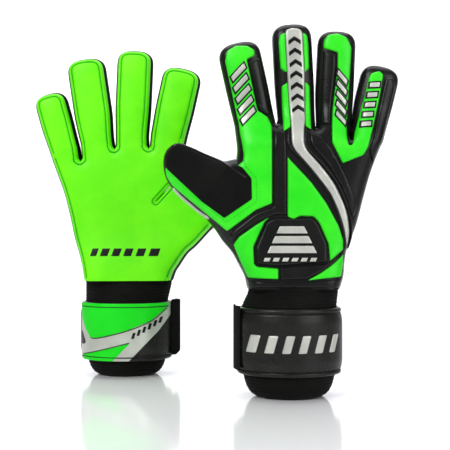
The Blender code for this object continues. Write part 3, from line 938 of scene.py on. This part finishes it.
def make_strap_half(glove, side, name, body_name, node):
    """Half of the padded strap, with turned edges and a sewn line inside each of them."""
    low = glove.sizes["strap_low"]
    angle = np.linspace(0.01, math.pi - 0.03, 97)
    loops = []
    rows = np.unique(np.concatenate([
        STRAP_EDGE_ROWS,
        np.arange(6.0, STRAP_HEIGHT - 6.0, 1.5),
        STRAP_HEIGHT - np.array(STRAP_EDGE_ROWS),
    ]))
    for height in rows:
        edge = min(height, STRAP_HEIGHT - height)
        share = min(edge / 2.0, 1.0)
        out = -1.9 + 1.5 * math.sqrt(1.0 - (1.0 - share) ** 2)
        out += 0.9 * float(smooth((edge - 3.6) / 7.0))
        out -= 0.8 * math.exp(-(((edge - STRAP_SEAM) / 0.45) ** 2))
        reach = out - 2.2 * (1.0 - smooth((math.pi - angle) / 0.18))
        loops.append(np.column_stack([
            (STRAP_HALF_WIDTH + reach) * np.cos(angle),
            side * (STRAP_HALF_DEPTH + reach) * np.sin(angle),
            np.full(len(angle), low + height),
        ]))
    for height in reversed(rows[::4]):
        loops.append(np.column_stack([
            (STRAP_HALF_WIDTH - STRAP_WALL) * np.cos(angle),
            side * (STRAP_HALF_DEPTH - STRAP_WALL) * np.sin(angle),
            np.full(len(angle), low + height),
        ]))
    piece = loops_to_piece(glove, f"{glove.name}_{name}", loops, "strap_leather", False, 1.0)
    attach(piece, f"{glove.name}_{body_name}")
    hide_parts(f"{glove.name}_{node}")


def slanted_bar(x, z, width, height, lean):
    return (
        (x - width / 2 - lean / 2, z - height / 2), (x - width / 2 + lean / 2, z + height / 2),
        (x + width / 2 + lean / 2, z + height / 2), (x + width / 2 - lean / 2, z - height / 2),
    )


def make_strap(glove):
    low = glove.sizes["strap_low"]
    cuff = glove.name + "_cuff"
    flap = glove.name + "_strap"
    make_strap_half(glove, 1, "strap_back_pad", "cuff", "strap_back")
    make_strap_half(glove, -1, "strap_flap_pad", "strap", "strap_flap")
    back, palm = strap_skin(1), strap_skin(-1)
    # raised bars across the sewn half
    for n, (x, width) in enumerate(((27.0, 7.0), (14.5, 6.6), (2.5, 6.2), (-9.0, 6.0), (-20.5, 6.0),
                                    (-30.5, 4.4))):
        bar = slanted_bar(x, low + 23.5, width, 12.5, -3.4)
        panel(glove, f"strap_bar_{n}", "hand", bar, "silver_film", back, thick=1.2, rim=0.9,
              corner=1.0, rider=cuff, grid=1.3)
    # the flap's print: two green fields and a silver sweep over the dark pad
    fields = {
        "strap_print_silver": ("silver_film", 0.35, (
            (-36.6, 47.4), (37.4, 47.4), (37.6, 37.0), (28.4, 24.6), (17.0, 13.0), (5.0, 0.6),
            (-35.0, 0.6), (-37.0, 8.0))),
        "strap_print_upper": ("strap_green", 0.75, (
            (-37.0, 47.6), (36.4, 47.6), (35.2, 43.4), (22.0, 33.0), (3.6, 25.8), (-13.3, 21.2),
            (-24.0, 18.9), (-28.5, 19.6), (-33.0, 27.0), (-36.4, 35.0))),
        "strap_print_lower": ("strap_green", 0.75, (
            (-35.6, 4.4), (-13.3, 10.4), (5.8, 15.4), (-8.6, 0.5), (-35.0, 0.5))),
        "strap_print_wedge": ("strap_leather", 0.75, (
            (-37.6, 25.0), (-35.6, 23.4), (-32.2, 15.0), (-34.0, 13.0), (-37.4, 13.0))),
    }
    for name, (material, thick, corners) in fields.items():
        places = [(x, low + z) for x, z in corners]
        panel(glove, name, "hand", places, material, palm, out=-1, thick=thick, rim=0.5,
              corner=0.8, rider=flap, grid=2.0)
    for n in range(6):
        x = 8.6 + n * 4.3
        bar = slanted_bar(x, low + 21.4 + n * 2.45, 2.3, 5.0, 1.5)
        panel(glove, f"strap_mark_{n}", "hand", bar, "black_foam", palm, out=-1, thick=0.35, rim=0.25,
              lift=0.35, corner=0.3, rider=flap, grid=1.2, step=0.6)
    across = np.column_stack([np.linspace(-36.5, 36.5, 80), np.zeros(80)])
    for height, name in ((STRAP_SEAM, "low"), (STRAP_HEIGHT - STRAP_SEAM, "high")):
        line = across + [0.0, low + height]
        stitches(glove, f"strap_back_stitch_{name}", "hand", line, "black_thread", back, lift=-0.9,
                 rider=cuff)
        tube(glove, f"strap_flap_seam_{name}", "hand", line, 0.42, "black_thread", palm, out=-1,
             lift=0.62, rider=flap)
    edges = (
        ((-28.0, 19.4), (-24.0, 18.7), (-13.3, 20.9), (3.6, 25.5), (22.0, 32.7), (35.4, 43.2)),
        ((-35.4, 4.8), (-13.3, 10.8), (5.6, 15.7)),
    )
    for n, corners in enumerate(edges):
        line = curve_through([(x, low + z) for x, z in corners], 1.2)
        tube(glove, f"strap_print_edge_{n}", "hand", line, 0.36, "black_thread", palm, out=-1,
             lift=0.55, rider=flap)
    make_tab(glove)


def stack(glove, name, rows, material, crease):
    """A closed piece from closed rows of points, with a face over each end."""
    bm = bmesh.new()
    rings = [[bm.verts.new(p) for p in glove.to_frame(row)] for row in rows]
    count = len(rings[0])
    for a, b in zip(rings[:-1], rings[1:]):
        for n in range(count):
            k = (n + 1) % count
            bm.faces.new([a[n], a[k], b[k], b[n]])
    bm.faces.new(rings[0])
    bm.faces.new(rings[-1])
    return new_object(name, bm, material, crease)


def strap_band(glove, name, depth, turn, heights, material, rider, node):
    """A strip that hugs the strap's side, between two depths, two turns and two heights."""
    inner, outer = depth
    low, high = heights
    angles = np.radians(np.linspace(turn[0], turn[1], 25))
    ends = np.sqrt(1.0 - np.linspace(-1.0, 1.0, 25) ** 8) * 0.9 + 0.1
    rows = []
    for z, share in ((low, 0.3), (low + 0.25, 0.75), (low + 0.8, 1.0), (high - 0.8, 1.0),
                     (high - 0.25, 0.75), (high, 0.3)):
        row = []
        for way in (1, -1):
            reach = (inner + outer) / 2 + way * (outer - inner) / 2 * share * ends
            x = (STRAP_HALF_WIDTH + reach) * np.cos(angles)
            y = (STRAP_HALF_DEPTH + reach) * np.sin(angles)
            side = np.column_stack([x, y, np.full(25, z)])
            row.append(side[::way])
        rows.append(np.vstack(row))
    piece = stack(glove, f"{glove.name}_{name}", rows, material, 0.9)
    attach(piece, rider)
    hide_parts(f"{glove.name}_{node}")


def make_tab(glove):
    """The pull tab at the thumb side, and the two tapes that hold it to the sewn half."""
    low = glove.sizes["strap_low"]
    flap = glove.name + "_strap"
    strap_band(glove, "loop_strip", (0.45, 0.72), (1.0, 15.0), (low + 6.0, low + 42.0), "hook_tape",
               glove.name + "_cuff", "loop_tape")
    strap_band(glove, "hook_strip", (0.76, 1.02), (-9.0, 12.0), (low + 6.0, low + 42.0), "hook_tape",
               flap, "hook_tape")
    if glove.turned:
        strap_band(glove, "pull_tab", (1.06, 2.1), (-13.0, 27.0), (low + 3.0, low + 49.5),
                   "black_fabric", flap, "strap_tab")
        return
    outline = (
        (38.0, -8.2), (44.6, -8.2), (45.5, -7.2), (45.5, -1.2), (44.2, 1.4), (41.8, 7.2), (40.3, 7.4),
        (40.3, -0.3), (38.4, -0.3),
    )
    rows = [[(x, y, z) for x, y in outline] for z in (low + 3.0, low + 49.5)]
    tab = stack(glove, glove.name + "_pull_tab", rows, "black_fabric", 0.3)
    outer = glove.to_frame([(45.5, 0.0, low + 3.0)])[0]
    deselect()
    bpy.context.view_layer.objects.active = tab
    tab.select_set(True)
    bpy.ops.object.mode_set(mode="EDIT")
    bpy.ops.mesh.select_all(action="SELECT")
    bpy.ops.mesh.bisect(
        plane_co=(outer[0] - 3.4 * MM, 0.0, outer[2]), plane_no=(7.0, 0.0, -3.4),
        clear_outer=True, use_fill=True,
    )
    bpy.ops.mesh.select_all(action="SELECT")
    bpy.ops.mesh.bevel(offset=0.5 * MM, segments=3, affect="EDGES")
    bpy.ops.object.mode_set(mode="OBJECT")
    bpy.ops.object.shade_smooth_by_angle(angle=0.7)
    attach(tab, flap)
    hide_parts(glove.name + "_strap_tab")


# The back's design, in the front glove's frame. Digit designs are (across, along) on the digit.

VENTS = {
    "index": ((3.6, 36.5), -8.1, ((6.0, -5.6), (6.8, -2.0), (-4.4, 5.6), (-5.2, 2.0))),
    "ring": ((-3.9, 37.0), -7.4, ((3.2, 5.4), (3.9, 2.2), (-3.0, -5.2), (-3.8, -2.0))),
    "little": ((3.4, 37.5), -7.4, ((3.5, -2.3), (3.7, 1.0), (-3.0, 2.9), (-3.3, -0.4))),
}
DIGIT_PANELS = {
    "index": (
        ("green_foam", 2.0, 1.5, (
            (-3.2, 6.5), (-3.6, 37.0), (-3.6, 44.6), (-10.0, 46.4), (-10.6, 50.5), (-6.0, 54.6),
            (2.0, 56.4), (9.0, 54.0), (12.0, 47.0), (12.0, 31.0), (12.2, 8.0), ("index", 12.2),
            ("index", -9.4))),
        ("black_foam", 2.4, 2.2, (
            (-4.9, 42.2), (-12.6, 44.4), (-12.2, 12.5), (-11.8, 2.4), (-9.6, 1.8), (-4.7, 7.0),
            (-4.6, 27.0))),
    ),
    "middle": (
        ("green_foam", 1.8, 1.3, (
            (5.8, 65.0), (9.4, 63.4), (10.6, 58.5), (10.2, 38.6), (5.8, 35.6))),
        ("green_foam", 1.8, 1.3, (
            (5.8, 28.6), (10.2, 26.0), (10.6, 8.0), ("middle", 10.6), ("middle", 5.5))),
        ("green_foam", 1.8, 1.3, (
            (-7.2, 64.4), (-10.4, 62.4), (-11.0, 57.0), (-10.6, 38.2), (-7.2, 35.2))),
        ("green_foam", 1.8, 1.3, (
            (-7.0, 28.4), (-10.4, 25.6), (-10.0, 8.0), ("middle", -9.7), ("middle", -5.6))),
        ("silver_film", 2.2, 1.2, (
            (5.6, 64.6), (4.6, 67.0), (0.0, 68.2), (-5.4, 67.0), (-7.0, 64.4), (-7.0, 33.0),
            (-6.2, 20.0), ("middle", -5.4), ("middle", 5.3), (5.6, 30.0))),
    ),
    "ring": (
        ("green_foam", 2.0, 1.5, (
            (10.4, 58.4), (10.4, 63.6), (8.0, 68.2), (1.0, 69.8), (-6.0, 67.0), (-9.8, 59.6),
            (-9.6, 40.5), (-8.6, 8.0), ("ring", -8.2), ("ring", 2.6), (2.2, 13.0), (-0.2, 44.0),
            (0.2, 55.4))),
        ("black_foam", 2.4, 2.2, (
            (10.6, 56.8), (1.6, 54.0), (1.2, 44.0), (3.6, 13.0), (4.2, 2.6), (10.4, 2.6),
            (11.0, 30.0))),
    ),
    "little": (
        ("green_foam", 2.0, 1.4, (
            (8.6, 42.6), (7.6, 46.0), (2.6, 48.8), (-0.8, 47.2), (-1.6, 37.0), (-2.3, 25.5),
            (-2.0, 9.0), ("little", -1.5), ("little", 9.6), (9.2, 12.0), (8.4, 29.5))),
        ("black_foam", 2.2, 2.0, (
            (-3.2, 44.5), (-8.0, 46.4), (-12.0, 41.0), (-11.6, 10.0), ("little", -11.0),
            ("little", -3.8))),
    ),
    "thumb": (
        ("green_foam", 1.4, 1.2, (
            ("thumb", 15.2), (28.0, 14.0), (36.0, 11.0), (40.0, 7.0), (38.0, 3.0), ("thumb", 2.0))),
        ("black_fabric", 2.0, 1.2, (
            ("thumb", -20.5), (10.0, -20.8), (22.0, -18.0), (38.0, -14.6), (44.4, -11.6),
            (45.8, -6.0), (45.2, -2.0), (41.6, 4.6), (39.0, 6.6), ("thumb", 10.5))),
    ),
}
HAND_PANELS = (
    ("index_side", "green_foam", 2.0, 1.5, "index_side_panel", (
        ("index", -9.4), ("index", 12.2), (36.0, 191.0), (34.6, 184.0), (33.4, 176.0), (33.8, 171.0),
        (40.0, 166.0), ("thumb", -14.0), ("thumb", 15.2), (45.4, 120.6), (24.5, 136.0),
        (13.2, 140.6), (13.2, 197.5))),
    ("thumb_patch_base", "black_fabric", 1.7, 1.2, None, (
        ("thumb", -20.5), (42.0, 167.4), (37.5, 168.0), (34.4, 166.4), (28.0, 158.5), (27.6, 143.6),
        (47.5, 130.0), ("thumb", 10.5))),
    ("diagonal_band", "black_foam", 1.5, 1.5, None, (
        (11.4, 197.0), (3.4, 192.0), (2.9, 176.0), (2.9, 132.4), (10.5, 132.6), (24.2, 127.6),
        (37.3, 118.6), (42.0, 112.6), (44.2, 117.0), (40.0, 121.6), (24.5, 133.4), (11.8, 138.0))),
    ("centre_wedge", "green_foam", 2.0, 1.5, "centre_panel", (
        (2.0, 173.8), (-15.0, 155.6), (-25.6, 141.0), (-34.6, 124.5), (-38.0, 114.0), (-38.0, 107.6),
        (-28.0, 99.4), (-27.2, 111.5), (-20.6, 127.0), (-16.5, 131.2), (-7.0, 131.6), (-2.2, 129.0),
        (2.0, 131.0))),
    ("middle_strip_thumb", "green_foam", 1.8, 1.3, None, (
        ("middle", 5.6), ("middle", 10.6), (4.6, 192.5), (-0.4, 196.0))),
    ("middle_strip_little", "green_foam", 1.8, 1.3, None, (
        ("middle", -9.7), ("middle", -5.6), (-11.3, 196.8), (-15.5, 194.0))),
    ("silver_sweep", "silver_film", 1.9, 1.2, "silver_band", (
        ("middle", -5.4), ("middle", 5.3), (-1.0, 196.0), (-1.0, 181.5), (-9.0, 172.3),
        (-17.5, 162.5), (-29.0, 147.5), (-35.0, 134.0), (-39.0, 121.0), (-40.8, 108.0),
        (-42.8, 119.5), (-40.6, 134.5), (-32.5, 153.5), (-22.0, 167.5), (-9.5, 181.0),
        (-10.2, 196.0))),
    ("ring_band", "black_foam", 1.6, 1.6, None, (
        (-14.6, 193.0), (-14.2, 183.4), (-26.5, 169.6), (-38.4, 149.4), (-45.0, 129.5), (-48.6, 139.0),
        (-42.0, 156.0), (-34.8, 170.5), (-27.0, 184.0), (-20.0, 191.0))),
    ("knuckle_fork", "green_foam", 2.0, 1.5, None, (
        ("ring", -8.2), ("ring", 2.6), (-30.0, 184.5), (-37.5, 169.4), (-52.6, 175.4), (-55.8, 181.0),
        ("little", -1.5), ("little", 9.6), (-45.8, 185.0), (-44.0, 182.2), (-41.8, 182.8),
        (-41.0, 188.0))),
    ("little_side_strip", "black_foam", 2.2, 2.0, None, (
        ("little", -11.0), ("little", -3.8), (-57.0, 178.0), (-60.6, 170.0))),
    ("badge", "black_foam", 2.6, 1.5, "wrist_badge", (
        (17.0, 127.0), (12.0, 129.6), (-2.0, 129.6), (-16.0, 129.8), (-19.6, 126.0), (-26.0, 111.5),
        (-26.0, 98.8), (8.5, 95.8), (24.2, 97.4),
        (25.0, 108.5))),
    ("under_badge", "black_foam", 1.5, 1.4, None, (
        (7.6, 94.8), (-26.5, 97.6), (-37.6, 105.6), (-29.0, 95.4), (-11.0, 86.6), (7.6, 85.8))),
    ("wrist_side", "green_foam", 2.0, 1.5, "wrist_side_panel", (
        (15.2, 130.6), (18.6, 127.2), (26.6, 109.5), (26.2, 97.0), (24.0, 95.2), (9.0, 94.0),
        (9.0, 86.4), (30.6, 87.4), (36.4, 100.0), (40.9, 111.0), (36.6, 116.8), (24.0, 125.6))),
    ("wrist_corner", "green_foam", 1.8, 1.4, None, (
        (-38.2, 104.2), (-37.8, 96.0), (-36.2, 88.2), (-12.0, 85.6), (-22.0, 91.2), (-32.4, 98.8))),
    ("hem_band", "black_foam", 1.2, 1.2, None, (
        (-36.4, 80.4), (-36.9, 86.6), (-12.0, 84.0), (8.0, 83.6), (31.0, 85.4), (30.0, 80.4))),
)
BADGE_BARS = (
    ((17.0, 105.0), (14.4, 110.2), (-16.0, 110.2), (-18.6, 105.0)),
    ((13.6, 112.0), (11.2, 117.2), (-12.8, 117.2), (-15.4, 112.0)),
    ((10.2, 119.0), (7.8, 124.2), (-9.6, 124.2), (-12.2, 119.0)),
)
LIPS = (
    ((0.9, 194.0), (0.9, 182.2), (-7.6, 173.0), (-16.2, 163.2), (-27.8, 148.0), (-33.8, 134.2),
     (-37.7, 121.0), (-39.4, 108.0)),
    ((-11.9, 194.0), (-11.3, 181.6), (-23.6, 168.3), (-34.2, 154.0), (-42.2, 134.8), (-44.4, 119.6),
     (-42.4, 108.0)),
)
SEAMS = (
    ("index_side_seam", (
        (33.0, 173.0), (32.6, 167.6), (24.6, 158.8), (24.4, 141.8), (46.2, 127.0), (58.0, 136.6))),
)


THUMB_PIPING = (
    ("thumb_lip", 1.15, "black_foam", 2.6, (
        (-12.0, -22.4), (0.0, -21.6), (10.0, -21.2), (22.0, -18.4), (34.0, -15.7), (42.0, -12.6),
        (45.6, -8.0))),
    ("thumb_lower_edge", 1.3, "silver_film", 0.5, (
        (-8.0, 17.2), (0.0, 17.3), (9.0, 16.9), (18.0, 16.4), (27.0, 15.0))),
)


def grown(corners, by):
    """A convex outline with every edge moved out."""
    corners = np.asarray(corners, float)
    ends = np.roll(corners, -1, axis=0)
    area = (corners[:, 0] * ends[:, 1] - ends[:, 0] * corners[:, 1]).sum()
    run = ends - corners
    run /= np.linalg.norm(run, axis=1)[:, None]
    facing = np.column_stack([run[:, 1], -run[:, 0]]) * math.copysign(1.0, area)
    before = np.roll(facing, 1, axis=0)
    both = facing + before
    both /= np.linalg.norm(both, axis=1)[:, None]
    share = np.maximum((both * facing).sum(1), 0.5)
    return [tuple(p) for p in corners + both * (by / share)[:, None]]


def make_back(glove, carry):

    def back(points):
        return glove.skin(points, 1)

    wide = {}
    for digit in DIGITS:
        mine, first = glove.digits[digit], FRONT["digits"][digit]
        wide[digit] = (mine[3][1] / first[3][1], mine[2] / first[2])
    for digit, entries in DIGIT_PANELS.items():
        swap = digit == "thumb"
        for n, (material, thick, rim, corners) in enumerate(entries):
            places = []
            for point in corners:
                if isinstance(point[0], str):
                    places.append(point)
                    continue
                v, u = (point[1], point[0]) if swap else point
                places.append(glove.place(digit, v * wide[digit][0], u * wide[digit][1]))
            lift = 1.3 if material == "black_fabric" else 0.0
            panel(glove, f"{digit}_panel_{n}", digit, places, material, back, thick=thick, rim=rim,
                  lift=lift)
    for digit, ((v, u), pitch, shape) in VENTS.items():
        for n in range(5):
            places = []
            for dv, du in shape:
                across, up = (v + dv) * wide[digit][0], (u + n * pitch + du) * wide[digit][1]
                places.append(glove.place(digit, across, up))
            for name, outline, material, lift, thick in (
                ("base", grown(places, 1.15), "black_foam", 1.75, 0.6),
                ("bar", places, "silver_film", 2.15, 0.75),
            ):
                panel(glove, f"{digit}_vent_{n}_{name}", digit, outline, material, back, thick=thick,
                      rim=0.5, lift=lift, corner=0.5, grid=1.3, step=0.7)
    for n in range(7):
        v, u = -0.7, 58.5 - n * 8.3
        bar = [(-4.5, -3.2), (0.0, -0.2), (4.5, -3.2), (4.5, 0.0), (0.0, 3.0), (-4.5, 0.0)]
        places = [glove.place("middle", (v + a) * wide["middle"][0], u + b) for a, b in bar]
        panel(glove, f"middle_chevron_{n}", "middle", places, "black_foam", back, thick=0.4, rim=0.3,
              lift=2.1, corner=0.3, grid=1.2, step=0.6)
    for name, material, thick, rim, node, corners in HAND_PANELS:
        lift = 1.4 if name == "thumb_patch_base" else 0.0
        corner = 8.0 if name in ("silver_sweep", "ring_band") else 1.2
        panel(glove, name, "hand", corners, material, back, thick=thick, rim=rim, lift=lift,
              corner=corner, warp=carry, node=node)
    for n, corners in enumerate(BADGE_BARS):
        panel(glove, f"badge_bar_{n}", "hand", corners, "silver_film", back, thick=0.9, rim=0.6,
              lift=2.3, corner=0.6, warp=carry, grid=1.2, step=0.7)
    for n in range(6):
        bar = slanted_bar(17.0 - n * 6.6, 100.4, 4.2, 2.6, -1.2)
        panel(glove, f"badge_dash_{n}", "hand", bar, "silver_film", back, thick=0.5, rim=0.35,
              lift=2.4, corner=0.3, warp=carry, grid=1.2, step=0.7)
    for n, corners in enumerate(LIPS):
        path = [carry(p) if carry else p for p in corners]
        path = curve_through(path, 1.2)
        tube(glove, f"sweep_lip_{n}", "hand", path, 0.75, "black_foam", back, lift=1.1)
        stitches(glove, f"sweep_stitch_{n}", "hand", path, "black_thread", back, lift=1.75)
    for name, radius, material, lift, corners in THUMB_PIPING:
        path = [glove.place("thumb", v * wide["thumb"][0], u * wide["thumb"][1]) for u, v in corners]
        tube(glove, name, "thumb", curve_through(path, 1.2), radius, material, back, lift=lift)
    for name, corners in SEAMS:
        path = resample([carry(p) if carry else p for p in corners], 1.0)
        stitches(glove, name, "hand", path, "green_thread", back, lift=1.95)


def make_palm_marks(glove, carry):

    def palm(points):
        return glove.skin(points, -1)

    for n, (x, width) in enumerate(((25.0, 8.0), (13.8, 7.0), (3.4, 6.6), (-6.4, 6.6), (-16.0, 6.4),
                                    (-24.8, 5.2))):
        bar = slanted_bar(x, 103.6, width, 6.4, 2.2)
        panel(glove, f"palm_mark_{n}", "hand", bar, "black_foam", palm, out=-1, thick=0.4, rim=0.3,
              lift=PAD_FOAM - 0.2, corner=0.4, warp=carry, grid=1.3, step=0.7)


def make_glove(glove, back_carry, palm_carry, slit):
    for part in ("hand", *DIGITS):
        body(glove, part)
        palm_pad(glove, part, slit)
    palm_seams(glove, slit)
    make_back(glove, back_carry)
    make_palm_marks(glove, palm_carry)
    make_cuff(glove)
    make_wrist(glove)
    make_strap(glove)


front = Glove(FRONT)
rear = Glove(REAR)
to_rear = Warp(landmarks(front), landmarks(rear))
to_front = Warp(landmarks(rear), landmarks(front))
slit_rear = (np.array([26.0, 146.0]), np.array([41.5, 163.0]))
slit_front = tuple(np.array(to_front(tuple(p))) for p in slit_rear)
make_glove(front, None, to_front, slit_front)
make_glove(rear, to_rear, None, slit_rear)


# Stage, lights and camera


def make_sheet(name, place, turn, colour, roughness):
    """A large plain sheet of one colour."""
    deselect()
    bpy.ops.mesh.primitive_plane_add(size=8.0, location=place, rotation=(turn, 0, 0))
    sheet = bpy.context.active_object
    sheet.name = name
    bpy.ops.object.transform_apply(location=True, rotation=True, scale=True)
    material = bpy.data.materials.new(name)
    material.use_nodes = True
    shader = material.node_tree.nodes["Principled BSDF"]
    shader.inputs["Base Color"].default_value = colour
    shader.inputs["Roughness"].default_value = roughness
    sheet.data.materials.append(material)
    return sheet


def make_light(name, place, aim, size, power):
    light = bpy.data.lights.new(name, "AREA")
    light.shape = "RECTANGLE"
    light.size, light.size_y = size
    light.energy = power
    lamp = bpy.data.objects.new(name, light)
    bpy.context.scene.collection.objects.link(lamp)
    lamp.location = place
    direction = Vector(aim) - Vector(place)
    lamp.rotation_euler = direction.to_track_quat("-Z", "Y").to_euler()


floor = make_sheet("floor", (0.0, 1.0, 0.0), 0.0, (0.86, 0.855, 0.875, 1.0), 0.12)
wall = make_sheet("backdrop", (0.0, 2.2, 2.0), math.pi / 2, (0.9, 0.895, 0.93, 1.0), 0.9)
make_light("key", (-0.7, -1.1, 1.0), (0.0, 0.0, 0.13), (0.7, 0.7), 14.5)
make_light("fill", (0.9, -1.0, 0.6), (0.0, 0.0, 0.13), (0.7, 0.9), 7.0)
make_light("top", (0.0, 0.1, 1.3), (0.0, 0.0, 0.1), (1.2, 0.8), 9.0)
make_light("wash", (0.0, 0.9, 1.6), (0.0, 2.2, 0.6), (3.0, 0.8), 50.0)
world = bpy.data.worlds.new("studio")
world.use_nodes = True
world.node_tree.nodes["Background"].inputs["Color"].default_value = (0.96, 0.96, 1.0, 1.0)
world.node_tree.nodes["Background"].inputs["Strength"].default_value = 0.26
bpy.context.scene.world = world
bpy.context.scene.view_settings.view_transform = "Standard"

camera_data = bpy.data.cameras.new("camera")
camera_data.lens = 67.5
camera_data.sensor_width = 36.0
camera_data.shift_y = 0.022
camera_data.clip_start = 0.02
camera = bpy.data.objects.new("camera", camera_data)
camera.location = (0.0163, -0.67, 0.118)
camera.rotation_euler = (math.pi / 2, 0.0, 0.0)
bpy.context.scene.collection.objects.link(camera)
bpy.context.scene.camera = camera

deselect()
